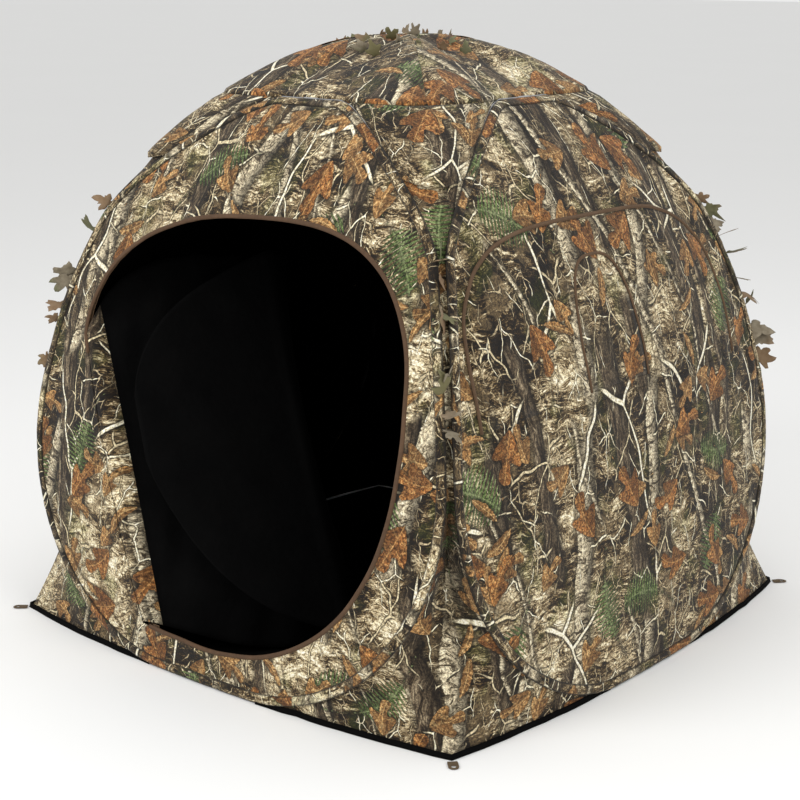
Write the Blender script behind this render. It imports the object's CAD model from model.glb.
import bmesh
import bpy
import math
import numpy as np
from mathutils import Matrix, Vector


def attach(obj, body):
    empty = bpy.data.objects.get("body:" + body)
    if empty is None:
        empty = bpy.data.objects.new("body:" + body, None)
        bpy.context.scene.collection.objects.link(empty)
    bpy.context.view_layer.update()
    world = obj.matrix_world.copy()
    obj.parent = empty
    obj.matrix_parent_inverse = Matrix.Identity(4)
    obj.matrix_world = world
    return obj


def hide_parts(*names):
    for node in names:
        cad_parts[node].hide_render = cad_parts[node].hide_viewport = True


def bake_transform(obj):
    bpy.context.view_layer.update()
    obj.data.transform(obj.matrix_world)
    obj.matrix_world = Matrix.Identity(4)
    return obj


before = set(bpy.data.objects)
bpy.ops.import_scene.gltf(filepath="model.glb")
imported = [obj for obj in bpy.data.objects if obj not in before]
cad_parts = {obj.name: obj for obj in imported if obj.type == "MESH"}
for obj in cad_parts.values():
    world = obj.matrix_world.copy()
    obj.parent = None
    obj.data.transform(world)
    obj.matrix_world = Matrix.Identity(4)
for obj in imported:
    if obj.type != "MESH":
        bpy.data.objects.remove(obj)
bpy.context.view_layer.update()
print("frame loaded,", len(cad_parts), "nodes")

# camera, light and floor
cameraView = {"azimuth": 39.58, "elevation": 14.42, "distance": 4.871, "targetHeight": 0.581,
              "lens": 77.92, "shiftX": -0.0095}
studio = {"keyPower": 150.0, "fillPower": 105.0, "topPower": 60.0, "worldStrength": 0.84,
          "floorTone": (0.83, 0.83, 0.82, 1), "floorSize": 60.0}


def makeCamera():
    azimuth = math.radians(cameraView["azimuth"])
    elevation = math.radians(cameraView["elevation"])
    back = Vector((math.sin(azimuth) * math.cos(elevation), -math.cos(azimuth) * math.cos(elevation),
                   math.sin(elevation)))
    data = bpy.data.cameras.new("viewCamera")
    data.lens = cameraView["lens"]
    data.sensor_width = 36
    data.shift_x = cameraView["shiftX"]
    data.clip_end = 200
    camera = bpy.data.objects.new("viewCamera", data)
    camera.location = Vector((0, 0, cameraView["targetHeight"])) + back * cameraView["distance"]
    camera.rotation_mode = "QUATERNION"
    camera.rotation_quaternion = (-back).to_track_quat("-Z", "Y")
    bpy.context.scene.collection.objects.link(camera)
    bpy.context.scene.camera = camera


def makeLamp(name, place, target, size, power):
    data = bpy.data.lights.new(name, "AREA")
    data.shape = "DISK"
    data.size = size
    data.energy = power
    lamp = bpy.data.objects.new(name, data)
    lamp.location = place
    lamp.rotation_mode = "QUATERNION"
    lamp.rotation_quaternion = (Vector(target) - Vector(place)).to_track_quat("-Z", "Y")
    bpy.context.scene.collection.objects.link(lamp)


makeCamera()
bpy.context.scene.view_settings.view_transform = "Standard"
makeLamp("keyLamp", (-1.6, -5.2, 3.6), (0, 0, 0.7), 3.2, studio["keyPower"])
makeLamp("fillLamp", (5.6, -1.8, 2.6), (0, 0, 0.7), 3.2, studio["fillPower"])
makeLamp("topLamp", (0.5, 0.5, 5.5), (0, 0, 0.8), 4.0, studio["topPower"])
world = bpy.data.worlds.new("studioWorld")
world.use_nodes = True
world.node_tree.nodes["Background"].inputs[0].default_value = (1, 1, 1, 1)
world.node_tree.nodes["Background"].inputs[1].default_value = studio["worldStrength"]
bpy.context.scene.world = world


# shader sockets as values that can be added, multiplied and compared
class Wire:
    def __init__(self, paint, socket):
        self.paint = paint
        self.socket = socket

    def math(self, operation, *others):
        values = dict(enumerate((self,) + others))
        return self.paint.wire("Math", {"operation": operation}, values)

    def mathFrom(self, operation, first):
        return self.paint.wire("Math", {"operation": operation}, {0: first, 1: self})

    def __add__(self, other):
        return self.math("ADD", other)

    def __radd__(self, other):
        return self.mathFrom("ADD", other)

    def __sub__(self, other):
        return self.math("SUBTRACT", other)

    def __rsub__(self, other):
        return self.mathFrom("SUBTRACT", other)

    def __mul__(self, other):
        return self.math("MULTIPLY", other)

    def __rmul__(self, other):
        return self.mathFrom("MULTIPLY", other)

    def __truediv__(self, other):
        return self.math("DIVIDE", other)

    def __rtruediv__(self, other):
        return self.mathFrom("DIVIDE", other)

    def __pow__(self, other):
        return self.math("POWER", other)

    def __neg__(self):
        return self.mathFrom("MULTIPLY", -1.0)

    def __abs__(self):
        return self.math("ABSOLUTE")

    def __gt__(self, other):
        return self.math("GREATER_THAN", other)

    def __lt__(self, other):
        return self.math("LESS_THAN", other)

    def sine(self):
        return self.math("SINE")

    def cosine(self):
        return self.math("COSINE")

    def least(self, other):
        return self.math("MINIMUM", other)

    def most(self, other):
        return self.math("MAXIMUM", other)

    def eased(self, low, high):          # 0 at low, 1 at high, smooth between
        return self.paint.wire("MapRange", {"interpolation_type": "SMOOTHSTEP"},
                               {0: self, 1: low, 2: high, 3: 0.0, 4: 1.0})

    def parts(self):
        made = self.paint.node("SeparateXYZ", {}, {0: self})
        return [Wire(self.paint, made.outputs[i]) for i in range(3)]


class Paint:
    def __init__(self, name):
        self.material = bpy.data.materials.new(name)
        self.material.use_nodes = True
        self.tree = self.material.node_tree
        self.tree.nodes.clear()

    def node(self, kind, settings, values):
        made = self.tree.nodes.new("ShaderNode" + kind)
        for key, value in settings.items():
            if key == "stops":
                self.setStops(made.color_ramp, value)
            else:
                setattr(made, key, value)
        for key, value in values.items():
            if isinstance(value, Wire):
                self.tree.links.new(value.socket, made.inputs[key])
            else:
                made.inputs[key].default_value = value
        return made

    def wire(self, kind, settings, values, output=0):
        return Wire(self, self.node(kind, settings, values).outputs[output])

    def setStops(self, ramp, stops):
        while len(ramp.elements) < len(stops):
            ramp.elements.new(0.5)
        for element, (position, tone) in zip(ramp.elements, stops):
            element.position = position
            element.color = (*tone, 1)

    def ramp(self, value, stops):
        return self.wire("ValToRGB", {"stops": stops}, {0: value})

    def over(self, amount, under, upper, blend="MIX"):
        under = (*under, 1) if isinstance(under, tuple) else under
        upper = (*upper, 1) if isinstance(upper, tuple) else upper
        return self.wire("Mix", {"data_type": "RGBA", "blend_type": blend}, {0: amount, 6: under,
                                                                             7: upper}, 2)

    def pattern(self):                   # metres along and up the cloth
        return self.wire("UVMap", {"uv_map": "Pattern"}, {})

    def placed(self, place, shift, scale):
        return self.wire("Mapping", {}, {0: place, 1: (*shift, 0), 3: (*scale, 1)})

    def cloud(self, place, size, seed, stretch=(1, 1), detail=3.0, rough=0.6, distort=0.0):
        moved = self.placed(place, (seed * 3.71, seed * 1.93), (stretch[0] / size, stretch[1] / size))
        return self.wire("TexNoise", {"noise_dimensions": "2D"},
                         {"Vector": moved, "Scale": 1.0, "Detail": detail, "Roughness": rough,
                          "Distortion": distort})

    def finish(self, colour, roughness, height, depth, settings):
        values = {"Base Color": colour, "Roughness": roughness}
        if height is not None:
            values["Normal"] = self.wire("Bump", {}, {"Height": height, "Distance": depth, "Strength": 1.0})
        values.update(settings)
        shader = self.node("BsdfPrincipled", {}, values)
        self.node("OutputMaterial", {}, {0: Wire(self, shader.outputs[0])})
        return self.material


# the print: leaf litter, trunks, branches, then leaves and sprigs on top
litterTones = [(0.0, (0.010, 0.006, 0.003)), (0.34, (0.030, 0.019, 0.009)), (0.46, (0.105, 0.074, 0.040)),
               (0.55, (0.200, 0.152, 0.098)), (0.66, (0.430, 0.365, 0.275)), (1.0, (0.800, 0.720, 0.600))]
barkTones = [(0.0, (0.008, 0.006, 0.004)), (0.42, (0.042, 0.030, 0.020)), (0.52, (0.115, 0.088, 0.064)),
             (0.66, (0.300, 0.250, 0.195)), (1.0, (0.640, 0.570, 0.480))]
birchTones = [(0.0, (0.016, 0.012, 0.008)), (0.42, (0.090, 0.070, 0.050)), (0.50, (0.440, 0.385, 0.310)),
              (1.0, (0.900, 0.850, 0.760))]
oakLeaf = {"size": 0.200, "length": 0.32, "width": 0.235, "lobes": 9.0, "depth": 0.72, "chance": 0.60}
smallOak = {"size": 0.150, "length": 0.33, "width": 0.240, "lobes": 8.0, "depth": 0.74, "chance": 0.42}
lanceLeaf = {"size": 0.180, "length": 0.27, "width": 0.070, "lobes": 0.0, "depth": 0.0, "chance": 0.32}
needleSprig = {"size": 0.300, "length": 0.27, "width": 0.200, "lobes": 92.0, "depth": 0.98, "chance": 0.42}


def scatter(paint, place, cell, seed):
    moved = paint.placed(place, (seed * 5.17, seed * 2.39), (1 / cell, 1 / cell))
    spots = paint.node("TexVoronoi", {"voronoi_dimensions": "2D"},
                       {"Vector": moved, "Scale": 1.0, "Randomness": 0.72})
    offset = paint.wire("VectorMath", {"operation": "SUBTRACT"},
                        {0: moved, 1: Wire(paint, spots.outputs["Position"])})
    luck = Wire(paint, spots.outputs["Color"]).parts()
    turned = paint.wire("VectorRotate", {"rotation_type": "Z_AXIS"}, {"Vector": offset,
                                                                      "Angle": luck[0] * 6.2832})
    across, along, _ = turned.parts()
    return across, along, luck


def leafShape(paint, place, kind, seed):
    across, along, luck = scatter(paint, place, kind["size"], seed)
    bent = across + along * along * (luck[2] - 0.5) * 1.6
    reach = along / kind["length"]
    body = (1 - reach * reach).most(0.0) ** 0.62
    side = abs(bent)
    if kind["depth"]:
        wave = (along * (kind["lobes"] / kind["length"] / 2) - side * 16.0).cosine()
        body = body * (1 - kind["depth"] * (0.5 + 0.5 * wave))
    ragged = (paint.cloud(place, 0.012, seed + 30.0, detail=2.0) - 0.5) * 0.050
    edge = body * kind["width"] * (0.75 + 0.5 * luck[1]) - side + ragged
    shown = luck[2] < kind["chance"]
    mask = edge.eased(0.0, 0.008) * shown
    shadow = edge.eased(-0.055, 0.012) * shown
    rib = side.eased(0.012, 0.0)
    veins = (along * 70.0 - side * 60.0).sine().eased(0.80, 1.0)
    half = bent.eased(-0.05, 0.05)
    return mask, shadow, rib, veins, half, luck


def addLeaves(paint, colour, place, kind, seed, tones, mottle):
    mask, shadow, rib, veins, half, luck = leafShape(paint, place, kind, seed)
    colour = paint.over(shadow * 0.62, colour, (0.012, 0.008, 0.004))
    tone = paint.over(luck[1], tones[0], tones[1])
    tone = paint.over(mottle * 0.9, tone, tones[2])
    dry = paint.cloud(place, 0.011, seed + 40.0, detail=4.0, rough=0.7, distort=0.8)
    tone = paint.over(dry.eased(0.50, 0.66) * 0.75, tone, tones[4])
    tone = paint.over(dry.eased(0.48, 0.34) * 0.80, tone, tones[3])
    tone = paint.over(half * 0.45, tone, tones[3])
    tone = paint.over(veins * 0.45, tone, tones[3])
    tone = paint.over(rib * 0.55, tone, tones[4])
    return paint.over(mask * 0.94, colour, tone)


def twigLine(paint, place, cell, seed, wide, bend, amount):
    wander = paint.wire("VectorMath", {"operation": "MULTIPLY_ADD"}, {
        0: paint.wire("TexNoise", {"noise_dimensions": "2D"},
                      {"Vector": place, "Scale": 1.0 / cell, "Detail": 2.0}, 1),
        1: (bend, bend, 0), 2: place})
    moved = paint.placed(wander, (seed * 2.13, seed * 4.71), (1 / cell, 0.55 / cell))
    gap = paint.wire("TexVoronoi", {"voronoi_dimensions": "2D", "feature": "DISTANCE_TO_EDGE"},
                     {"Vector": moved, "Scale": 1.0, "Randomness": 1.0}) * cell
    strength = paint.cloud(place, cell * 1.3, seed + 4.0, detail=1.0).eased(0.62 - amount, 0.72 - amount)
    width = strength * wide + 0.00005
    return gap, width, strength


def addTwigs(paint, colour, place, cell, seed, wide, bend, amount, tone):
    gap, width, strength = twigLine(paint, place, cell, seed, wide, bend, amount)
    ratio = gap / width
    colour = paint.over(ratio.eased(2.6, 1.0) * strength * 0.75, colour, (0.014, 0.010, 0.006))
    return paint.over(ratio.eased(1.05, 0.55) * strength, colour, tone)


def addTrunks(paint, colour, place, spacing, seed, lean, wide, tones, grain):
    across, along, _ = place.parts()
    bend = paint.cloud(place, 0.55, seed, stretch=(0.5, 1.0), detail=2.0) - 0.5
    line = (across + along * lean + bend * 0.16) / spacing + seed * 1.37
    trunks = paint.node("TexVoronoi", {"voronoi_dimensions": "1D"}, {"W": line, "Scale": 1.0,
                                                                     "Randomness": 0.85})
    luck = Wire(paint, trunks.outputs["Color"]).parts()
    side = (line - Wire(paint, trunks.outputs["W"])) * spacing
    half = (luck[0] * 0.65 + 0.35) * wide
    rough = (grain - 0.5) * 0.014
    edge = half - abs(side) + rough
    fade = paint.cloud(place, 0.42, seed + 9.0, detail=1.0).eased(0.40, 0.47)
    mask = edge.eased(0.0, 0.004) * fade
    roundSide = (side / half).eased(-1.0, 1.0)
    tone = paint.ramp(grain, tones)
    tone = paint.over(roundSide * roundSide * 0.75, tone, (0.018, 0.013, 0.008))
    colour = paint.over(edge.eased(-0.022, 0.004) * fade * 0.6, colour, (0.014, 0.010, 0.006))
    return paint.over(mask, colour, tone)


def woodlandColour(paint, place):
    warp = paint.wire("VectorMath", {"operation": "MULTIPLY_ADD"}, {
        0: paint.wire("TexNoise", {"noise_dimensions": "2D"},
                      {"Vector": place, "Scale": 9.0, "Detail": 2.0}, 1),
        1: (0.055, 0.055, 0), 2: place})
    litter = paint.cloud(warp, 0.070, 1.0, stretch=(0.6, 1.4), detail=8.0, rough=0.72, distort=0.9)
    broad = paint.cloud(place, 0.30, 2.0, stretch=(1.0, 0.8), detail=2.0)
    fine = paint.cloud(warp, 0.009, 3.0, stretch=(0.7, 1.3), detail=4.0, rough=0.75, distort=0.8)
    straw = paint.cloud(warp, 0.014, 13.0, stretch=(0.25, 2.2), detail=3.0, rough=0.6, distort=1.4)
    base = (litter - 0.5) * 1.35 + (broad - 0.5) * 1.05 + (fine - 0.5) * 1.05 + (straw - 0.5) * 0.75 + 0.475
    colour = paint.ramp(base, litterTones)
    moss = paint.cloud(place, 0.16, 5.0, detail=3.0).eased(0.53, 0.64)
    colour = paint.over(moss * fine * 0.6, colour, (0.070, 0.095, 0.022))
    plain = paint.cloud(place, 0.11, 17.0, detail=2.0).eased(0.60, 0.64)
    colour = paint.over(plain * 0.55, colour, (0.175, 0.135, 0.090))
    grain = paint.cloud(warp, 0.016, 7.0, stretch=(1.5, 0.26), detail=7.0, rough=0.76, distort=0.6)
    patch = paint.cloud(warp, 0.022, 8.0, stretch=(0.55, 1.1), detail=6.0, rough=0.78, distort=1.4)
    colour = addTwigs(paint, colour, place, 0.045, 1.0, 0.0012, 0.030, 0.18, (0.380, 0.320, 0.240))
    colour = addTrunks(paint, colour, place, 0.24, 3.0, 0.10, 0.040, barkTones, grain)
    colour = addTwigs(paint, colour, place, 0.100, 2.0, 0.0020, 0.045, 0.16, (0.460, 0.400, 0.310))
    colour = addTrunks(paint, colour, place, 0.40, 6.0, -0.16, 0.036, birchTones, patch)
    colour = addTrunks(paint, colour, place, 0.33, 11.0, 0.34, 0.013, birchTones, patch)
    colour = addTwigs(paint, colour, place, 0.070, 5.0, 0.0013, 0.035, 0.15, (0.620, 0.560, 0.460))
    colour = addTwigs(paint, colour, place, 0.280, 3.0, 0.0036, 0.100, 0.13, (0.660, 0.600, 0.500))
    mottle = paint.cloud(place, 0.026, 11.0, detail=4.0, rough=0.7).eased(0.38, 0.66)
    green = ((0.080, 0.120, 0.040), (0.130, 0.180, 0.070), (0.220, 0.250, 0.150), (0.030, 0.045, 0.015),
             (0.260, 0.280, 0.180))
    orange = ((0.350, 0.180, 0.072), (0.260, 0.125, 0.050), (0.160, 0.085, 0.038), (0.070, 0.035, 0.016),
              (0.480, 0.320, 0.170))
    tan = ((0.390, 0.240, 0.118), (0.290, 0.175, 0.084), (0.200, 0.120, 0.060), (0.090, 0.050, 0.025),
           (0.540, 0.410, 0.250))
    colour = addLeaves(paint, colour, place, needleSprig, 2.0, green, mottle)
    colour = addLeaves(paint, colour, place, smallOak, 5.0, tan, mottle)
    colour = addLeaves(paint, colour, place, lanceLeaf, 4.0, tan, mottle)
    colour = addLeaves(paint, colour, place, oakLeaf, 3.0, orange, mottle)
    speck = paint.cloud(place, 0.0065, 25.0, detail=3.0, rough=0.8).eased(0.32, 0.68)
    colour = paint.over(1.0, colour, paint.over(speck, (0.42, 0.41, 0.40), (1.16, 1.15, 1.12)), "MULTIPLY")
    # deepen the print, then bring its lights back up
    colour = paint.wire("Gamma", {}, {0: colour, 1: 1.4})
    colour = paint.wire("VectorMath", {"operation": "MULTIPLY"}, {0: colour, 1: (2.30, 2.35, 2.15)})
    colour = paint.wire("VectorMath", {"operation": "MINIMUM"}, {0: colour, 1: (0.86, 0.83, 0.76)})
    return colour, base


def weave(paint, place, pitch):
    across, along, _ = place.parts()
    return (across * (6.2832 / pitch)).sine() * (along * (6.2832 / pitch)).sine()


def makeCamoCloth(name="woodlandCloth", shift=(0, 0), seams=0.0):
    paint = Paint(name)
    place = paint.pattern()
    colour, base = woodlandColour(paint, paint.placed(place, shift, (1, 1)))
    if seams:                            # a dark stitched edge along both sides of a sleeve
        _, around, _ = place.parts()
        edge = abs((around * (6.2832 / seams)).cosine())
        colour = paint.over(edge.eased(0.72, 0.97) * 0.85, colour, (0.012, 0.009, 0.006))
    creases = paint.cloud(place, 0.16, 21.0, stretch=(1.0, 0.55), detail=3.0, rough=0.5)
    puckers = paint.cloud(place, 0.035, 22.0, detail=2.0)
    height = creases * 1.0 + puckers * 0.16 + weave(paint, place, 0.0016) * 0.012
    rough = 0.78 + base * 0.12
    return paint.finish(colour, rough, height, 0.012, {"Specular IOR Level": 0.25, "Sheen Weight": 0.08})


def makeCoating():
    paint = Paint("blackCoating")
    place = paint.pattern()
    tone = paint.cloud(place, 0.09, 1.0, detail=5.0)
    colour = paint.over(tone, (0.0016, 0.0016, 0.0017), (0.0040, 0.0039, 0.0038))
    height = paint.cloud(place, 0.10, 2.0, detail=3.0) + weave(paint, place, 0.0016) * 0.02
    return paint.finish(colour, 0.86 + tone * 0.1, height, 0.006, {"Specular IOR Level": 0.04})


def makeTape(name, dark, light, pitch, ribs):
    paint = Paint(name)
    place = paint.pattern()
    across, along, _ = place.parts()
    rows = (across * (6.2832 / pitch)).sine()
    mix = paint.cloud(place, 0.010, 4.0, detail=4.0)
    wear = paint.cloud(place, 0.12, 6.0, detail=3.0).eased(0.45, 0.75)
    colour = paint.over(mix, dark, light)
    colour = paint.over(wear * 0.3, colour, (light[0] * 1.5, light[1] * 1.5, light[2] * 1.6))
    colour = paint.over(rows.eased(0.2, 1.0) * ribs, colour, (dark[0] * 0.4, dark[1] * 0.4, dark[2] * 0.4))
    height = rows * 0.5 + mix * 0.6
    return paint.finish(colour, 0.72 + mix * 0.12, height, 0.0006, {"Specular IOR Level": 0.3})


def makeMetal(name, tone, rough, stretch):
    paint = Paint(name)
    place = paint.wire("TexCoord", {}, {}, 3)
    moved = paint.wire("Mapping", {}, {0: place, 3: stretch})
    grain = paint.wire("TexNoise", {}, {"Vector": moved, "Scale": 60.0, "Detail": 5.0})
    marks = paint.wire("TexNoise", {}, {"Vector": place, "Scale": 14.0, "Detail": 4.0}).eased(0.5, 0.75)
    colour = paint.over(grain, tone, tuple(channel * 0.72 for channel in tone))
    colour = paint.over(marks * 0.35, colour, tuple(channel * 0.5 for channel in tone))
    return paint.finish(colour, rough + grain * 0.16 + marks * 0.1, grain, 0.0002, {"Metallic": 1.0})


def makePlastic():
    paint = Paint("togglePlastic")
    place = paint.wire("TexCoord", {}, {}, 3)
    grain = paint.wire("TexNoise", {}, {"Vector": place, "Scale": 900.0, "Detail": 3.0})
    wear = paint.wire("TexNoise", {}, {"Vector": place, "Scale": 40.0, "Detail": 4.0}).eased(0.5, 0.8)
    colour = paint.over(wear, (0.014, 0.013, 0.012), (0.040, 0.038, 0.035))
    return paint.finish(colour, 0.48 + grain * 0.2, grain, 0.0002, {"Specular IOR Level": 0.4})


def makeFloor():
    paint = Paint("paleFloor")
    place = paint.wire("TexCoord", {}, {}, 3)
    cloud = paint.wire("TexNoise", {}, {"Vector": place, "Scale": 0.6, "Detail": 3.0})
    colour = paint.over(cloud, studio["floorTone"][:3], tuple(c * 0.985 for c in studio["floorTone"][:3]))
    return paint.finish(colour, 0.9 + cloud * 0.05, None, 0, {"Specular IOR Level": 0.1})


camoCloth = makeCamoCloth()
sleeveGirth = 0.0636
sleeveCloth = makeCamoCloth("sleeveCloth", (3.3, 5.1), sleeveGirth)
blackCoating = makeCoating()
brownBinding = makeTape("brownBinding", (0.060, 0.031, 0.015), (0.125, 0.070, 0.036), 0.0022, 0.35)
zipTape = makeTape("zipTape", (0.080, 0.044, 0.022), (0.150, 0.090, 0.048), 0.0030, 0.55)
webbing = makeTape("stakeWebbing", (0.090, 0.060, 0.032), (0.180, 0.125, 0.070), 0.0018, 0.5)
pullCord = makeTape("pullCord", (0.080, 0.048, 0.026), (0.150, 0.095, 0.052), 0.0016, 0.5)
springSteel = makeMetal("springSteel", (0.42, 0.42, 0.43), 0.30, (1, 1, 12))
ferruleSteel = makeMetal("ferruleSteel", (0.50, 0.50, 0.50), 0.36, (1, 8, 8))
sliderMetal = makeMetal("sliderMetal", (0.075, 0.055, 0.040), 0.42, (3, 3, 3))
togglePlastic = makePlastic()
print("materials made")


# the shape of a wall, in the front wall's own frame
blind = {"baseHalf": 0.762, "peakZ": 1.589, "eaveZ": 1.447, "domeH": 1.543, "domePower": 2.27,
         "domeTurn": 0.4,
         "bowBase": 0.064, "bowEave": 0.035, "seamGap": 0.009, "groundGap": 0.0012,
         "meetLow": 0.654, "meetHigh": 1.122, "sleeveWide": 0.028, "lap": 0.008,
         "clothThick": 0.0012, "roofLift": 0.003}
door = {"sill": 0.101, "top": 1.165, "right": 0.577, "left": 0.521, "foldTop": 0.817, "foldLow": 0.215,
        "open": 60.0, "fold": 172.0, "share": 0.52, "bend": 0.055, "strip": 0.050}
window = {"x": -0.035, "z": 0.735, "half": 0.560, "height": 0.425, "power": 3.5,
          "portX": -0.070, "portRise": 0.025, "portHalf": 0.128, "portHeight": 0.312, "portPower": 3.0}
wallNames = ["front", "right", "back", "left"]
cornerNames = ["front_right", "back_right", "back_left", "front_left"]


def halfAt(z):
    return blind["baseHalf"] * (1 - (np.maximum(z,
                                                0) / blind["domeH"]) ** blind["domePower"]) ** blind["domeTurn"]


def wallAt(x, z):
    x, z = np.broadcast_arrays(np.asarray(x, float), np.asarray(z, float))
    h = halfAt(z)
    bow = blind["bowBase"] + (blind["bowEave"] - blind["bowBase"]) * z / blind["eaveZ"]
    return np.stack([x, -h - bow * (1 - (x / h) ** 2), z], -1)


def unit(v):
    return v / np.maximum(np.linalg.norm(v, axis=-1, keepdims=True), 1e-9)


def wallOut(x, z):
    step = 0.001
    return unit(np.cross(wallAt(x + step, z) - wallAt(x - step, z), wallAt(x, z + step) - wallAt(x,
                                                                                                 z - step)))


def waves(points, size, seed, count=14):    # smooth noise, about -1 to 1
    rng = np.random.default_rng(seed)
    points = np.asarray(points, float)
    heading = rng.normal(size=(count, points.shape[-1]))
    heading = unit(heading) * rng.uniform(0.6, 1.6, (count, 1)) * 2 * math.pi / size
    start = rng.uniform(0, 2 * math.pi, count)
    return np.sin(points @ heading.T + start).sum(-1) / math.sqrt(count) / 1.2


def ripple(x, z, wall):
    spot = np.stack(np.broadcast_arrays(x, z), -1)
    far = spot * [1.0, 0.55] + [wall * 7.3, wall * 3.1]
    drag = np.exp(-((halfAt(spot[..., 1]) - np.abs(spot[..., 0])) / 0.16) ** 2)
    return 0.0032 * waves(far, 0.34, 11) + 0.0012 * waves(far, 0.11, 12) + 0.0022 * drag * waves(far,
                                                                                                 0.09, 13)


def onWall(x, z, off=0.0, wall=0, slack=1.0):
    off = np.asarray(off, float) + slack * ripple(x, z, wall)
    return wallAt(x, z) + wallOut(x, z) * off[..., None]


def turned(points, k):
    turns = {0: (1, 0), 1: (0, 1), 2: (-1, 0), 3: (0, -1)}
    c, s = turns[k % 4]
    points = np.asarray(points, float)
    return np.stack([points[..., 0] * c - points[..., 1] * s, points[..., 0] * s + points[..., 1] * c,
                     points[..., 2]], -1)


def hoopHalf(i):
    low, high, eave = blind["meetLow"], blind["meetHigh"], blind["eaveZ"]
    if i <= 1:
        return 0.2 * i, 0.0
    if i <= 9:
        a = math.radians((i - 1) / 8 * 90)
        return 0.2 + 0.8 * math.sin(a), low * (1 - math.cos(a))
    if i <= 15:
        return 1.0, low + (high - low) * (i - 9) / 6
    if i <= 22:
        a = math.radians((i - 15) / 7 * 90)
        return 0.3 + 0.7 * max(math.cos(a), 0) ** 1.2, high + (eave - high) * math.sin(a) ** (4 / 3)
    return 0.3 * (24 - i) / 2, eave


def hoopSide(i):
    u, z = hoopHalf(i)
    z = max(z, blind["groundGap"])
    return [u * float(halfAt(z)) - u * blind["seamGap"], z]


def hoopLine(count):
    line = []
    for k in range(count):
        i = k * 48.0 / count
        if i <= 24:
            line.append(hoopSide(i))
        else:
            x, z = hoopSide(48 - i)
            line.append([-x, z])
    return np.array(line)


def pulledIn(line, distance):
    run = unit(np.roll(line, -1, 0) - np.roll(line, 1, 0))
    return line + np.stack([-run[:, 1], run[:, 0]], 1) * distance


def signPower(value, power):
    return math.copysign(abs(value) ** power, value)


def doorPoint(k, grow):
    a = math.radians((k - 12) / 48 * 360)
    middle, crown = 0.690, 0.100
    if k <= 12:
        return [(door["right"] + grow) * signPower(math.cos(a), 2 / 2.2),
                middle + (middle - door["sill"] + grow) * signPower(math.sin(a), 2 / 2.2)]
    if k <= 24:
        return [crown + (door["right"] - crown + grow) * signPower(math.cos(a), 2 / 2.5),
                middle + (door["top"] - middle + grow) * signPower(math.sin(a), 2 / 2.5)]
    if k <= 36:
        return [crown + (door["left"] + crown + grow) * signPower(math.cos(a), 2 / 2.4),
                door["foldTop"] + (door["top"] - door["foldTop"] + grow) * signPower(math.sin(a), 2 / 2.4)]
    foldLow = [-door["foldLow"] - grow, door["sill"] + 0.011 - grow]
    foldTop = [-door["left"] - grow, door["foldTop"]]
    if k <= 45:
        s = (k - 36) / 9
        return [foldTop[i] + (foldLow[i] - foldTop[i]) * s for i in (0, 1)]
    s = (k - 45) / 3
    end = [0, door["sill"] - grow]
    return [foldLow[i] + (end[i] - foldLow[i]) * s for i in (0, 1)]


def doorLine(count, grow):
    return np.array([doorPoint(k * 48.0 / count, grow) for k in range(count)])


def archLine(count, x, z, wide, high, power, grow):
    line = []
    for k in range(count):
        a = math.radians((k * 48.0 / count - 12) / 48 * 360)
        if a < 0 or a > math.pi:
            line.append([x + (wide + grow) * math.cos(a), z - grow])
        else:
            line.append([x + (wide + grow) * signPower(math.cos(a), 2 / power),
                         z + (high + grow) * signPower(math.sin(a), 2 / power)])
    return np.array(line)


def windowLine(count, grow):
    return archLine(count, window["x"], window["z"], window["half"], window["height"], window["power"], grow)


def portLine(count, grow):
    return archLine(count, window["portX"], window["z"] + window["portRise"], window["portHalf"],
                    window["portHeight"], window["portPower"], grow)


# mesh makers
def gridNormals(grid, loop):
    if loop:
        along = np.roll(grid, -1, 0) - np.roll(grid, 1, 0)
    else:
        along = np.gradient(grid, axis=0)
    return unit(np.cross(np.gradient(grid, axis=1), along))


def addObject(name, points, faces, uvs, slots, materials):
    mesh = bpy.data.meshes.new(name)
    mesh.from_pydata(np.asarray(points).tolist(), [], faces)
    layer = mesh.uv_layers.new(name="Pattern")
    corner = np.empty(len(mesh.loops), np.int32)
    mesh.loops.foreach_get("vertex_index", corner)
    layer.data.foreach_set("uv", np.asarray(uvs, np.float32)[corner].ravel())
    for material in materials:
        mesh.materials.append(material)
    mesh.polygons.foreach_set("material_index", slots)
    mesh.polygons.foreach_set("use_smooth", [True] * len(faces))
    mesh.validate()
    mesh.update()
    made = bpy.data.objects.new(name, mesh)
    bpy.context.scene.collection.objects.link(made)
    return made


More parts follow.
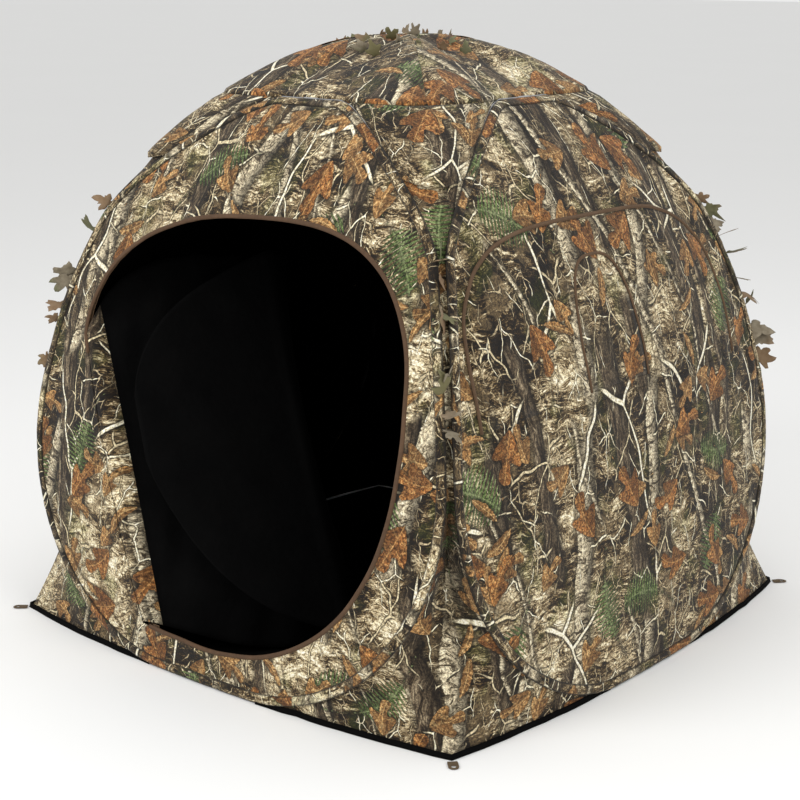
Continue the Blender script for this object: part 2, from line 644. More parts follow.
# patches: [grid of points, grid of pattern places]; the outside faces away from the middle unless flipped
def makeCloth(name, patches, outside, inside, loop=False, thick=None, facing=None, rimSlot=0):
    thick = blind["clothThick"] if thick is None else thick
    points, uvs, faces, slots = [], [], [], []
    area = 0.0
    for grid, spots in patches:
        n, m = grid.shape[:2]
        out = gridNormals(grid, loop)
        heading = (grid.reshape(-1, 3).mean(0) - [0, 0, 0.6]) if facing is None else np.asarray(facing,
                                                                                                float)
        flip = (out.reshape(-1, 3) @ heading).mean() < 0
        if flip:
            out = -out
        first = sum(len(p) for p in points)
        points += [(grid + out * thick / 2).reshape(-1, 3), (grid - out * thick / 2).reshape(-1, 3)]
        uvs += [spots.reshape(-1, 2), spots.reshape(-1, 2)]
        skip = n * m
        spans = n if loop else n - 1
        for i in range(spans):
            for j in range(m - 1):
                a, b = first + i * m + j, first + i * m + j + 1
                d, c = first + ((i + 1) % n) * m + j, first + ((i + 1) % n) * m + j + 1
                quad = [a, b, c, d] if not flip else [a, d, c, b]
                faces.append(quad)
                slots.append(0)
                faces.append([v + skip for v in reversed(quad)])
                slots.append(1)
        rim = []
        for i in range(spans):
            for j, sign in ((0, 1), (m - 1, -1)):
                rim.append((first + i * m + j, first + ((i + 1) % n) * m + j, sign))
        if not loop:
            for j in range(m - 1):
                rim.append((first + j + 1, first + j, 1))
                rim.append((first + (n - 1) * m + j, first + (n - 1) * m + j + 1, 1))
        for a, b, sign in rim:
            quad = [a, b, b + skip, a + skip]
            if (sign < 0) != flip:
                quad.reverse()
            faces.append(quad)
            slots.append(rimSlot)
        flat = spots
        e1 = flat[1:, :-1] - flat[:-1, :-1]
        e2 = flat[:-1, 1:] - flat[:-1, :-1]
        e3 = flat[1:, :-1] - flat[1:, 1:]
        e4 = flat[:-1, 1:] - flat[1:, 1:]
        area += (np.abs(e1[..., 0] * e2[..., 1] - e1[..., 1] * e2[..., 0]).sum()
                 + np.abs(e3[..., 0] * e4[..., 1] - e3[..., 1] * e4[..., 0]).sum()) / 2
        if loop:
            e1 = flat[0, :-1] - flat[-1, :-1]
            e2 = flat[-1, 1:] - flat[-1, :-1]
            area += np.abs(e1[:, 0] * e2[:, 1] - e1[:, 1] * e2[:, 0]).sum()
    made = addObject(name, np.concatenate(points), faces, np.concatenate(uvs), slots, [outside, inside])
    made["cutArea"] = float(area)
    return made


def makeSweep(name, path, out, section, material, closed, shift=(0, 0), under=None):
    section = np.asarray(section, float)
    n, m = len(path), section.shape[-2]
    if closed:
        run = unit(np.roll(path, -1, 0) - np.roll(path, 1, 0))
    else:
        run = unit(np.gradient(path, axis=0))
    side = unit(np.cross(out, run))
    up = np.cross(run, side)
    if section.ndim == 2:
        section = np.broadcast_to(section, (n, m, 2))
    rings = path[:, None] + side[:, None] * section[..., :1] + up[:, None] * section[..., 1:]
    step = np.linalg.norm(np.diff(np.concatenate([path, path[:1]]), axis=0), axis=1)
    length = np.concatenate([[0], np.cumsum(step)])[:n]
    girth = np.linalg.norm(np.diff(np.concatenate([section[0], section[0][:1]]), axis=0), axis=1)
    around = np.concatenate([[0], np.cumsum(girth)])
    # an extra row and column keep the pattern whole at the joins
    wide = np.concatenate([rings, rings[:, :1]], 1)
    uvs = np.stack(np.broadcast_arrays(length[:, None] + shift[0], around[None, :] + shift[1]), -1)
    faces = []
    if closed:
        wide = np.concatenate([wide, wide[:1]], 0)
        last = np.stack([np.full(m + 1, step.sum() + shift[0]), around + shift[1]], -1)
        uvs = np.concatenate([uvs, last[None]], 0)
    rows = len(wide)
    for i in range(rows - 1):
        for j in range(m):
            a = i * (m + 1) + j
            faces.append([a, a + 1, a + m + 2, a + m + 1])
    if not closed:
        faces.append([j for j in range(m)][::-1])
        faces.append([(rows - 1) * (m + 1) + j for j in range(m)])
    slots = [int(under is not None and i % m >= m // 2) for i in range(len(faces))]
    made = addObject(name, wide.reshape(-1, 3), faces, uvs.reshape(-1, 2), slots, [material,
                                                                                   under or material])
    joinSeams(made)
    return made


def joinSeams(made):                     # weld the doubled seam points, keeping each side's pattern place
    work = bmesh.new()
    work.from_mesh(made.data)
    bmesh.ops.remove_doubles(work, verts=work.verts, dist=1e-6)
    bmesh.ops.recalc_face_normals(work, faces=work.faces)
    work.to_mesh(made.data)
    work.free()
    made.data.update()


def declare(piece, body, nodes=()):
    if body:
        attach(piece, body)
    if nodes:
        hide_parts(*nodes)
    return piece


def spotsOf(x, z, wall):                 # where the print falls on a wall
    x, z = np.broadcast_arrays(x, z)
    return np.stack([x + wall * 2.31 + 0.4, z + wall * 1.17], -1)


# walls
wallCloth = {"rows": 34, "around": 240, "size": (1.41, 1.50)}


def wallPatch(outer, inner, rows, wall):
    s = np.linspace(0, 1, rows)[None, :, None]
    spot = outer[:, None] * (1 - s) + inner[:, None] * s
    x, z = spot[..., 0], spot[..., 1]
    calm = np.minimum(1.0, s[..., 0] * 6) * np.ones_like(x)
    grid = wallAt(x, z) + wallOut(x, z) * (ripple(x, z, wall) * calm)[..., None]
    return turned(grid, wall), spotsOf(x, z, wall)


def makeWalls():
    edge = pulledIn(hoopLine(wallCloth["around"]), blind["sleeveWide"] - blind["lap"])
    for wall, name in enumerate(wallNames):
        inner = doorLine(wallCloth["around"], 0.003) if wall == 0 else windowLine(wallCloth["around"], 0.0)
        piece = makeCloth(name + "WallCloth", [wallPatch(edge, inner, wallCloth["rows"], wall)],
                          camoCloth, blackCoating, loop=True, rimSlot=1)
        declare(piece, "shell", [name + "_panel"])


# sleeves round the hoops, gathered a little along their length
sleeve = {"count": 480, "wide": 0.027, "thick": 0.0105, "pucker": 0.10, "puckerSize": 0.045}


def makeSleeves():
    line = hoopLine(sleeve["count"])
    middle = pulledIn(line, blind["sleeveWide"] / 2)
    x, z = middle[:, 0], middle[:, 1]
    turn = np.linspace(0, 2 * math.pi, 15)[:-1]
    for wall, name in enumerate(wallNames):
        path = wallAt(x, z)
        out = wallOut(x, z)
        gather = 1 + sleeve["pucker"] * waves(path, sleeve["puckerSize"], 31 + wall)
        sides = np.sign(np.cos(turn)) * np.abs(np.cos(turn)) ** 0.8 * sleeve["wide"] / 2
        tops = np.sign(np.sin(turn)) * np.abs(np.sin(turn)) ** 0.8 * sleeve["thick"] / 2
        crinkle = 0.0006 * waves(np.concatenate([path[:, None] + sides[None, :, None] * out[:, None]],
                                                0), 0.03, 51)
        section = np.stack([sides[None] * np.ones((len(x), 1)), tops[None] * gather[:, None] + crinkle], -1)
        made = makeSweep(name + "Sleeve", turned(path, wall), turned(out, wall), section, sleeveCloth, True,
                         (wall * 1.9, 0.0), blackCoating)
        declare(made, "shell", [name + "_sleeve"])


# roof: four leaning sides that meet on soft ridges
roof = {"columns": 36, "rows": 40, "sideDip": 0.016, "ridgeLift": 0.010, "size": (0.86, 0.86)}


def cornerCurve(a, d, t):
    s = (a[..., 0] - a[..., 1]) / 2
    c = 2 * d - s
    b = np.stack([-a[..., 1], -a[..., 0], a[..., 2]], -1)
    m = np.stack([c, -c, a[..., 2]], -1)
    t = np.asarray(t)[..., None]
    return a * (1 - t) ** 2 + m * 2 * t * (1 - t) + b * t ** 2


underSleeve = -(0.007 + 0.0024) / 2 - 0.0004


def eaveLine():
    half = float(halfAt(blind["eaveZ"]))
    u = np.linspace(-1, 1, 21)
    x = u * 0.3 * half
    side = wallAt(x, np.full_like(x, blind["eaveZ"])) + wallOut(x, np.full_like(x,
                                                                                blind["eaveZ"])) * underSleeve
    right = cornerCurve(np.repeat(side[-1:], 9, 0), half, np.linspace(0, 0.5, 9))[1:]
    left = right[::-1] * [-1, 1, 1]
    return np.concatenate([left, side, right])


def makeRoof():
    line = eaveLine()
    k = np.concatenate([[1.012], np.linspace(1, 0.03, roof["rows"])])
    height = blind["peakZ"] - (blind["peakZ"] - blind["eaveZ"] - blind["roofLift"]) * k ** 1.8
    height[0] -= 0.006
    patches = []
    heading = np.arctan2(line[:, 0], -line[:, 1])
    middle = np.cos(heading * 2) ** 2        # 1 in the middle of a side, 0 on a ridge
    for side in range(4):
        grid = np.stack([line[None, :, 0] * k[:, None], line[None, :, 1] * k[:, None],
                         np.broadcast_to(height[:, None], (len(k), len(line)))], -1).copy()
        shape = np.sin(math.pi * np.clip(k, 0, 1))[:, None]
        fold = waves(grid + side * 3.0, 0.16, 71) * 0.0022 + waves(grid * [1, 1, 1] + side, 0.06,
                                                                   72) * 0.0008
        grid[..., 2] += shape * (-roof["sideDip"] * middle + roof["ridgeLift"] * (1 - middle)) + fold * shape
        spots = np.stack([grid[..., 0] * 1.0 + side * 1.3 + 7.0, -grid[..., 1] * 1.06 + side * 0.9], -1)
        patches.append([turned(grid, side), spots])
    made = makeCloth("roofCloth", patches, camoCloth, blackCoating, facing=(0, 0, 1))
    joinSeams(made)
    declare(made, "shell", ["roof_panel"])


# corner gussets, drawn at the front right corner
gusset = {"across": 17, "dip": 0.062, "hoodLow": 1.272, "hoodHigh": 1.296, "hoodOut": 0.011}


def behindSleeve(i):
    step = 0.02
    here, ahead, before = (np.array(hoopSide(v)) for v in (i, min(i + step, 24), max(i - step, 0)))
    run = unit(ahead - before)
    spot = here + np.array([-run[1], run[0]]) * 0.010
    return wallAt(spot[0], spot[1]) + wallOut(spot[0], spot[1]) * underSleeve


def makeUpperGussets():
    half = float(halfAt(blind["eaveZ"]))
    t = np.linspace(0, 1, gusset["across"])
    rows, offs, heights = [], [], []
    for i in np.arange(8.6, 21.01, 0.2):
        a = behindSleeve(i)
        share = max(i - 15, 0) / 7
        rows.append(cornerCurve(np.repeat(a[None], len(t), 0),
                                float(halfAt(a[2])) - (0.016 - 0.015 * share), t))
        heights.append(a[2])
    side = wallAt(0.3 * half, blind["eaveZ"]) + wallOut(0.3 * half, blind["eaveZ"]) * underSleeve
    top = cornerCurve(np.repeat(side[None], len(t), 0), half, t)
    last = rows[-1]
    for s in (0.34, 0.67, 1.0):
        rows.append(last * (1 - s) + top * s)
        heights.append(float(rows[-1][0, 2]))
    rows, heights = np.array(rows), np.array(heights)
    middle = np.sin(math.pi * t)
    # the cloth above the fold hangs over the cloth below it
    split = int(np.searchsorted(heights, gusset["hoodLow"]))
    below, above = rows[:split].copy(), rows[split:].copy()
    diagonal = np.array([1, -1, 0]) / math.sqrt(2)
    tuck = np.exp(-((heights[:split] - gusset["hoodLow"]) / 0.10) ** 2)[:, None, None]
    below -= diagonal * middle[None, :, None] * 0.014 * tuck
    over = np.exp(-((heights[split:] - gusset["hoodLow"]) / 0.05) ** 2)[:, None, None]
    above += diagonal * middle[None, :, None] * gusset["hoodOut"] * over
    lip = above[0] + (diagonal * 0.002 - np.array([0, 0, 0.014])) * middle[:, None]
    curl = above[0] + (-diagonal * 0.005 - np.array([0, 0, 0.011])) * middle[:, None]
    inner = below[-1] * 0.35 + above[0] * 0.65 - diagonal * middle[:, None] * 0.020
    grid = np.concatenate([below, inner[None], curl[None], lip[None], above])
    step = np.linalg.norm(np.diff(grid[:, len(t) // 2], axis=0), axis=1)
    up = np.concatenate([[0], np.cumsum(step)])
    girth = np.linalg.norm(np.diff(grid, axis=1), axis=2)
    wide = np.concatenate([np.zeros((len(grid), 1)), np.cumsum(girth, 1)], 1)
    wide -= wide[:, len(t) // 2][:, None]
    for k, name in enumerate(cornerNames):
        wobble = waves(grid + k * 5.0, 0.12, 81)[..., None] * 0.0028 * middle[None, :, None]
        spots = np.stack([wide + k * 1.7 + 11.0, up[:, None] + 0.5 + k * 0.8 + 0 * wide], -1)
        made = makeCloth(name + "_upperGusset", [[turned(grid + diagonal * wobble, k), spots]],
                         camoCloth, blackCoating)
        declare(made, "shell", [name + "_upper_gusset"])


def lowerRows():
    low = blind["meetLow"]
    rows = []
    t = np.linspace(-1, 1, 29)
    f = 1 - np.abs(t)
    for i in np.arange(1.0, 9.01, 0.2):
        step = 0.02
        here = np.array(hoopSide(i))
        run = unit(np.array(hoopSide(i + step)) - np.array(hoopSide(max(i - step, 0))))
        inset = 0.010 * min(1.0, (i - 1.0) / 0.6)
        spot = here + np.array([-run[1], run[0]]) * inset
        a = wallAt(spot[0], spot[1]) + wallOut(spot[0], spot[1]) * underSleeve
        k = min(a[2] / low, 1.0)
        d = (blind["baseHalf"] - 0.005) * (1 - k) + (float(halfAt(low)) - 0.016) * k
        d -= gusset["dip"] * math.sin(math.pi * k)
        swell = blind["bowBase"] * 0.2 * max(0.0, 1 - a[2] / 0.15)
        row = []
        for tt, ff in zip(t, f):
            s = np.array([a[0] * (1 - ff) + d * ff, a[1] * (1 - ff) - d * ff, a[2]])
            belly = swell * 4 * ff * (1 - ff) + 0.010 * math.sin(math.pi * ff) * math.sin(math.pi * k)
            s[1] -= belly
            row.append(s if tt <= 0 else np.array([-s[1], -s[0], s[2]]))
        rows.append(row)
    return np.array(rows)


def makeLowerGussets():
    grid = lowerRows()
    middle = grid.shape[1] // 2
    girth = np.linalg.norm(np.diff(grid, axis=1), axis=2)
    wide = np.concatenate([np.zeros((len(grid), 1)), np.cumsum(girth, 1)], 1)
    wide -= wide[:, middle][:, None]
    up = np.concatenate([[0], np.cumsum(np.linalg.norm(np.diff(grid[:, middle], axis=0), axis=1))])
    calm = np.minimum(1, np.abs(np.linspace(-1, 1, grid.shape[1])) * 5)
    out = gridNormals(grid, False)
    for k, name in enumerate(cornerNames):
        wobble = (waves(grid + k * 4.0, 0.15, 91) * 0.0032 + waves(grid + k, 0.06, 92) * 0.0012)
        wobble = wobble * calm[None] * np.minimum(1, up / 0.05)[:, None]
        shape = grid + out * wobble[..., None]
        spots = np.stack([wide + k * 1.9 + 17.0, up[:, None] + k * 0.6 + 0 * wide], -1)
        made = makeCloth(name + "_lowerGusset", [[turned(shape, k), spots]], camoCloth, blackCoating)
        declare(made, "shell", [name + "_lower_gusset"])
    foot = grid[0]
    line = foot[1:-1]
    run = unit(np.gradient(line, axis=0))
    outward = np.stack([-run[:, 1], run[:, 0], 0 * run[:, 0]], -1)
    if (outward @ np.array([1, -1, 0])).mean() < 0:
        outward = -outward
    for k, name in enumerate(cornerNames):
        flare = waves(line + k, 0.10, 95) * 0.002
        rows = []
        for height, off in ((0.001, 0.0075), (0.005, 0.0058), (0.010, 0.0042), (0.015, 0.0034)):
            rows.append(np.concatenate([line[:, :2] + outward[:, :2] * (off + flare[:, None]),
                                        np.full((len(line), 1), height)], 1))
        rows = np.array(rows)
        along = np.concatenate([[0], np.cumsum(np.linalg.norm(np.diff(line, axis=0), axis=1))])
        spots = np.stack(np.broadcast_arrays(along[None], np.array([0, 0.007, 0.014, 0.021])[:, None]), -1)
        made = makeCloth(name + "_hem", [[turned(rows, k), spots]], blackCoating, blackCoating, thick=0.0016)
        declare(made, "shell", ["corner_hems"] if k == 0 else [])


# stake loops: a webbing tab with a stitched round eye
stakeLoop = {"length": 0.046, "wide": 0.025, "eye": 0.006, "thick": 0.0030, "count": 48}


def makeStakeLoops():
    centre = stakeLoop["length"] - stakeLoop["wide"] / 2
    turn = np.linspace(0, 2 * math.pi, stakeLoop["count"], endpoint=False)
    half = stakeLoop["wide"] / 2
    outline = []
    for a in turn:
        c, s = math.cos(a), math.sin(a)
        if c >= 0:
            outline.append([centre + half * c, half * s])
        else:
            reach = min(half / max(abs(s), 1e-6), (centre - 0.006) / max(-c, 1e-6))
            outline.append([centre + reach * c, reach * s])
    outline = np.array(outline)
    circle = np.stack([centre + stakeLoop["eye"] * np.cos(turn), stakeLoop["eye"] * np.sin(turn)], 1)
    share = np.array([0.0, 0.08, 0.16, 0.30, 0.5, 0.75, 0.93, 1.0])
    swell = np.array([-0.3, 0.85, 1.0, 0.75, 0.62, 0.62, 0.55, -0.2])
    flat = circle[:, None] * (1 - share[None, :, None]) + outline[:, None] * share[None, :, None]
    for k, name in enumerate(cornerNames):
        middle = 0.0026 + 0.0004 * waves(flat, 0.03, 3 + k)
        rings = np.concatenate([np.stack([flat[..., 0], flat[..., 1], middle + swell * 0.0014], -1),
                                np.stack([flat[..., 0], flat[..., 1], middle - swell * 0.0014], -1)[:,
                                                                                                    ::-1]], 1)
        rings[..., 2] = np.maximum(rings[..., 2], 0.0009)
        radial = np.array([math.cos(-math.pi / 4), math.sin(-math.pi / 4)])
        cross = np.array([-radial[1], radial[0]])
        place = np.array([blind["baseHalf"], -blind["baseHalf"]])
        xy = place + rings[..., :1] * radial + rings[..., 1:2] * cross
        grid = np.concatenate([xy, rings[..., 2:]], -1)
        n, m = grid.shape[:2]
        faces = [[i * m + j, i * m + (j + 1) % m, ((i + 1) % n) * m + (j + 1) % m, ((i + 1) % n) * m + j]
                 for i in range(n) for j in range(m)]
        uvs = np.concatenate([flat, flat[:, ::-1]], 1).reshape(-1, 2)
        made = addObject(name + "_stakeTab", turned(grid, k).reshape(-1, 3), faces, uvs,
                         [0] * len(faces), [webbing])
        joinSeams(made)
        declare(made, name + "_stake_loop", [name + "_stake_loop"])


# trim: binding round the door, zip tapes round the windows
trim = {"bindingWide": 0.012, "bindingThick": 0.0085, "tapeWide": 0.010, "tapeThick": 0.0022, "coil": 0.0016}


def roundSection(wide, thick, count=12):
    turn = np.linspace(0, 2 * math.pi, count, endpoint=False)
    return np.stack([np.cos(turn) * wide / 2, np.sin(turn) * thick / 2], 1)


def makeDoorBinding():
    line = np.array([doorPoint(k % 48, 0.004) for k in np.linspace(45.4, 84.6, 260)])
    path = onWall(line[:, 0], line[:, 1], 0.0)
    out = wallOut(line[:, 0], line[:, 1])
    made = makeSweep("doorBinding", path, out, roundSection(trim["bindingWide"], trim["bindingThick"]),
                     brownBinding, False)
    declare(made, "shell", ["door_binding"])


def tapeSection():                       # a flat tape with the coil standing proud along its middle
    w, t, c = trim["tapeWide"] / 2, trim["tapeThick"] / 2, trim["coil"]
    return np.array([[-w, -t], [-w, t * 0.8], [-w * 0.35, t], [-w * 0.22, t + c], [w * 0.22, t + c],
                     [w * 0.35, t], [w, t * 0.8], [w, -t]])


def archRun(line):
    count = len(line)
    return line[count // 4:3 * count // 4 + 1]


def makeWindows():
    count = 240
    for wall in (1, 2, 3):
        name = wallNames[wall]
        outer, hole = windowLine(count, 0.0), portLine(count, 0.0)
        flap = makeCloth(name + "WindowFlap", [wallPatchFlat(outer, hole, 16, wall)], camoCloth,
                         blackCoating,
                         loop=True, rimSlot=1)
        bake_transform(flap)
        declare(flap, None, [name + "_window_flap"])
        arch = portLine(count, 0.0)
        quarter = count // 4
        left = arch[[(3 * quarter - i) % count for i in range(quarter + 1)]]
        right = arch[[quarter + i for i in range(quarter + 1)]]
        s = np.linspace(0, 1, 14)[None, :, None]
        spot = left[:, None] * (1 - s) + right[:, None] * s
        spot = spot[:-1]
        grid = turned(onWall(spot[..., 0], spot[..., 1], 0.0, wall), wall)
        port = makeCloth(name + "PortFlap", [[grid, spotsOf(spot[..., 0], spot[..., 1], wall)]], camoCloth,
                         blackCoating, rimSlot=1)
        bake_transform(port)
        declare(port, None, [name + "_port_flap"])
        for part, lineOf, body, grow in (("Window", windowLine, "shell", 0.004), ("Port", portLine,
                                                                                  name + "_window", 0.003)):
            run = archRun(lineOf(count * 2, grow))
            path = turned(onWall(run[:, 0], run[:, 1], 0.0026, wall), wall)
            out = turned(wallOut(run[:, 0], run[:, 1]), wall)
            section = tapeSection() * ((1.0, 1.0) if part == "Window" else (0.8, 0.9))
            tape = makeSweep(name + part + "Zip", path, out, section, zipTape, False)
            declare(tape, body, [name + ("_window_zip" if part == "Window" else "_port_zip")])


def wallPatchFlat(outer, inner, rows, wall):
    s = np.linspace(0, 1, rows)[None, :, None]
    spot = outer[:, None] * (1 - s) + inner[:, None] * s
    x, z = spot[..., 0], spot[..., 1]
    return turned(onWall(x, z, 0.0008, wall), wall), spotsOf(x, z, wall)


# door: an inner leaf that curls in from the fold line, and an outer leaf folded back on it
def turnAbout(points, origin, axis, angle):
    v = points - origin
    c, s = np.cos(angle)[..., None], np.sin(angle)[..., None]
    return origin + v * c + np.cross(axis, v) * s + axis * (v @ axis)[..., None] * (1 - c)


def coatBeyond(piece, origin, axis, reach):    # the print is only on a strip beside the fold line
    for face in piece.data.polygons:
        away = np.array(face.center) - origin
        away -= axis * (away @ axis)
        if np.linalg.norm(away) > reach:
            face.material_index = 1


def makeDoor():
    low = np.array([-door["foldLow"], door["sill"] + 0.011])
    top = np.array([-door["left"], door["foldTop"]])
    run = unit(top - low)
    side = np.array([run[1], -run[0]])
    outline = doorLine(480, -0.004)
    places = np.stack([(outline - low) @ side, (outline - low) @ run], 1)
    reach = np.array([doorPoint(k, -0.004) for k in range(48)]) - low
    reach = float((reach @ side).max())
    middle = reach * door["share"]

    def span(p):
        a, b = places, np.roll(places, -1, 0)
        hit = (a[:, 0] - p) * (b[:, 0] - p) <= 0
        hit &= np.abs(b[:, 0] - a[:, 0]) > 1e-9
        y = a[hit, 1] + (b[hit, 1] - a[hit, 1]) * (p - a[hit, 0]) / (b[hit, 0] - a[hit, 0])
        return y.min(), y.max()

    def closedPoint(p, k, off):
        y0, y1 = span(max(p, 0.0075))
        spot = low + side * p + run * (y0 + (y1 - y0) * k)
        return wallAt(spot[0], spot[1]) + wallOut(spot[0], spot[1]) * off, spot

    hinge = wallAt(low[0], low[1])
    hingeRun = unit(wallAt(top[0], top[1]) - hinge)
    creaseLow, creaseTop = closedPoint(middle, 0, 0)[0], closedPoint(middle, 1, 0)[0]
    creaseRun = unit(creaseTop - creaseLow)
    crease = creaseLow + closedPoint(middle, 0.5, 0.0024)[0] - (creaseLow + creaseTop) / 2
    rows = np.linspace(0, 1, 60)

    def leaf(p0, p1, columns):
        ps = np.linspace(p0, p1, columns)
        found = [[closedPoint(p, k, 0.0) for p in ps] for k in rows]
        return ps, np.array([[f[0] for f in r] for r in found]), np.array([[f[1] for f in r] for r in found])

    def ease(v):
        v = np.clip(v, 0, 1)
        return v * v * (3 - 2 * v)

    opening = math.radians(door["open"])
    ps, grid, spots = leaf(-0.009, middle + 0.004, 50)
    near = 1 - ease((ps - 0.004) / 0.05)
    follow = ripple(spots[..., 0], spots[..., 1], 0) * near - 0.0015 * (ps < 0.006)
    grid = grid + wallOut(spots[..., 0], spots[..., 1]) * follow[..., None]
    soft = waves(np.concatenate([spots, 0 * spots[..., :1]], -1) * [1, 0.35, 1], 0.13, 41) * 0.006
    grid = grid + wallOut(spots[..., 0], spots[..., 1]) * (soft * ease((ps - 0.05) / 0.1)[None])[..., None]
    angle = opening * ease(ps / door["bend"])[None] * np.ones_like(soft)
    inner = turnAbout(grid, hinge, hingeRun, angle)
    printSpots = spotsOf(spots[..., 0], spots[..., 1], 0)
    face = turnAbout(np.array([[0.0, -1.0, 0.0]]), np.zeros(3), hingeRun, np.array([opening]))[0]
    made = makeCloth("doorInnerLeaf", [[inner, printSpots]], camoCloth, blackCoating, facing=face)
    coatBeyond(made, hinge, hingeRun, door["strip"])
    probe = turnAbout(closedPoint(0.2, 0.5, 0)[0][None], hinge, hingeRun, np.array([opening]))[0] - hinge
    probe -= hingeRun * (probe @ hingeRun)
    heading = unit(probe)
    hinge + heading * door["bend"]
    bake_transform(made)
    declare(made, None, ["door_inner_leaf"])
    ps, grid, spots = leaf(middle + 0.0015, reach - 0.008, 40)
    beyond = ps - middle
    folded = turnAbout(grid, crease, creaseRun,
                       -math.radians(door["fold"]) * ease(beyond / 0.030)[None] * np.ones(grid.shape[:2]))
    soft = waves(np.concatenate([spots, 0 * spots[..., :1]], -1) * [1, 0.35, 1], 0.12, 43) * 0.004
    outer = turnAbout(folded, hinge, hingeRun, np.full(grid.shape[:2], opening))
    outer = outer + face * (soft * ease((beyond - 0.05) / 0.1)[None])[..., None]
    made = makeCloth("doorOuterLeaf", [[outer, spotsOf(spots[..., 0], spots[..., 1], 0)]], blackCoating,
                     blackCoating,
                     facing=-face)
    creaseNow = turnAbout(crease[None], hinge, hingeRun, np.array([opening]))[0]
    creaseNow + heading * 0.002
    creaseNow - heading * 0.026
    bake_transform(made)
    declare(made, None, ["door_outer_leaf"])


# cut cloth leaves along the corner seams and round the peak
leafTrim = {"seamStart": 0.70, "seamEnd": 1.16, "seamStep": 0.034, "size": 0.036, "spread": 0.020}


def makeLeafCloth(name):
    paint = Paint(name)
    place = paint.placed(paint.pattern(), (0, 0), (1, 1))
    mottle = paint.cloud(place, 0.020, 2.0, detail=4.0)
    tint = paint.cloud(place, 0.30, 3.0, detail=0.0).eased(0.40, 0.62)
    green = paint.cloud(place, 0.34, 6.0, detail=0.0).eased(0.56, 0.62)
    colour = paint.over(mottle, (0.075, 0.055, 0.032), (0.330, 0.285, 0.205))
    colour = paint.over(tint * 0.55, colour, (0.210, 0.110, 0.048))
    colour = paint.over(green * 0.60, colour, (0.100, 0.120, 0.048))
    height = mottle + weave(paint, place, 0.0014) * 0.05
    return paint.finish(colour, 0.8 + mottle * 0.1, height, 0.001, {"Specular IOR Level": 0.25})


leafCloth = makeLeafCloth("cutLeafCloth")


def makeLeafPile(name, places, node, body="shell"):
    # places: [point, direction it grows in, seed]
    rng = np.random.default_rng(len(places) + 7)
    allPoints, allUvs, faces, slots = [], [], [], []
    turn = np.linspace(0, 2 * math.pi, 30, endpoint=False)
    for number, (spot, grow, size) in enumerate(places):
        lobes = rng.integers(4, 7)
        edge = 0.74 + 0.20 * np.cos(turn * lobes + rng.uniform(0,
                                                               6)) + 0.09 * np.cos(turn * 11 + rng.uniform(0, 6))
        edge = np.maximum(edge + rng.normal(size=len(turn)) * 0.05, 0.35) * (1 + 0.30 * np.cos(turn))
        grow = unit(np.asarray(grow, float) + rng.normal(size=3) * 0.38)
        cross = unit(np.cross(grow, rng.normal(size=3)))
        face = np.cross(grow, cross)
        scale = size * rng.uniform(0.7, 1.25)
        curl = rng.uniform(-0.5, 0.5)
        middle = np.asarray(spot) + grow * scale * 0.42
        first = len(allPoints)
        spots = []
        for share in (0.0, 0.35, 0.7, 1.0):
            for a, r in zip(turn, edge):
                u, v = math.cos(a) * r * share, math.sin(a) * r * share * 0.8
                spots.append((u, v))
        top = [middle + (grow * u + cross * v) * scale + face * (curl * (u * u + v * v) - 0.35 * curl * abs(v)) * scale
               for u, v in spots]
        n = len(turn)
        for layer in (0.0003, -0.0003):
            allPoints += [p + face * layer for p in top]
            allUvs += [(number * 0.71 + u * scale, number * 0.37 + v * scale) for u, v in spots]
        count = len(spots)
        for ring in range(3):
            for j in range(n):
                a, b = first + ring * n + j, first + ring * n + (j + 1) % n
                quad = [a, b, b + n, a + n]
                faces.append(quad)
                faces.append([q + count for q in reversed(quad)])
        for j in range(n):
            a, b = first + 3 * n + j, first + 3 * n + (j + 1) % n
            faces.append([b, a, a + count, b + count])
    made = addObject(name, np.array(allPoints), faces, np.array(allUvs), [0] * len(faces), [leafCloth])
    joinSeams(made)
    declare(made, body, [node])


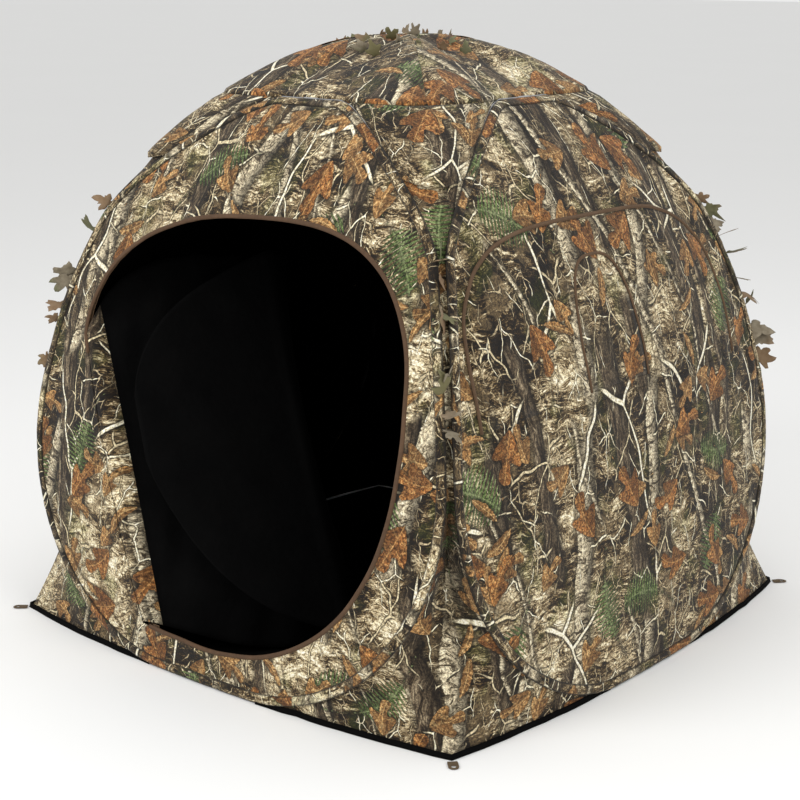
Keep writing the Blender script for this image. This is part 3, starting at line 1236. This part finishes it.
def makeLeaves():
    rng = np.random.default_rng(5)
    seam, peak = [], []
    for k in range(4):
        for z in np.arange(leafTrim["seamStart"], leafTrim["seamEnd"], leafTrim["seamStep"]):
            if rng.random() < 0.72:
                z = z + rng.uniform(-0.014, 0.014)
                d = float(halfAt(z)) - 0.006
                spot = np.array([d, -d, z])
                grow = np.array([1, -1, rng.uniform(-0.8, 0.9)])
                seam.append((turned(spot, k), turned(grow, k), leafTrim["size"]))
    half = float(halfAt(blind["eaveZ"]))
    for number in range(26):
        a = number * 2.4
        r = 0.02 + 0.17 * math.sqrt(number / 26)
        k = r / half
        z = blind["peakZ"] - (blind["peakZ"] - blind["eaveZ"]) * k ** 1.8
        spot = np.array([r * math.cos(a), r * math.sin(a), z - 0.004])
        peak.append((spot, np.array([math.cos(a) * 0.5, math.sin(a) * 0.5, 0.9]), leafTrim["size"] * 0.68))
    makeLeafPile("seamLeaves", seam, "seam_leaves")
    makeLeafPile("peakLeaves", peak, "peak_leaves")


# carried-over parts get their finishes
def finishCadNodes():
    finishes = {"_hoop": springSteel, "hoop_ferrules": ferruleSteel, "crown_patch": blackCoating,
                "_slider": sliderMetal,
                "_pull": pullCord, "door_toggle": togglePlastic, "door_zip": zipTape}
    for name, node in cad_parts.items():
        for ending, material in finishes.items():
            if name.endswith(ending):
                node.data.materials.clear()
                node.data.materials.append(material)


def makeStage():
    size = studio["floorSize"]
    mesh = bpy.data.meshes.new("floor")
    mesh.from_pydata([(-size, -size, 0), (size, -size, 0), (size, size, 0), (-size, size, 0)], [], [(0,
                                                                                                     1, 2, 3)])
    floor = bpy.data.objects.new("floor", mesh)
    mesh.materials.append(makeFloor())
    bpy.context.scene.collection.objects.link(floor)
    low = blind["baseHalf"] - 0.012
    shade = bpy.data.meshes.new("insideGround")
    edge = []
    for k in range(4):
        for x in np.linspace(-low, low, 24)[:-1]:
            bow = (blind["bowBase"] - 0.012) * (1 - (x / low) ** 2)
            edge.append(tuple(turned([x, -low - bow, 0.0004], k)))
    shade.from_pydata(edge, [], [list(range(len(edge)))])
    shade.materials.append(blackCoating)
    ground = bpy.data.objects.new("insideGround", shade)
    bpy.context.scene.collection.objects.link(ground)


makeWalls()
print("walls made")
makeSleeves()
makeRoof()
makeUpperGussets()
makeLowerGussets()
print("roof, sleeves and gussets made")
makeStakeLoops()
makeDoorBinding()
makeWindows()
print("windows and binding made")
makeDoor()
makeLeaves()
print("door and leaves made")
finishCadNodes()
makeStage()
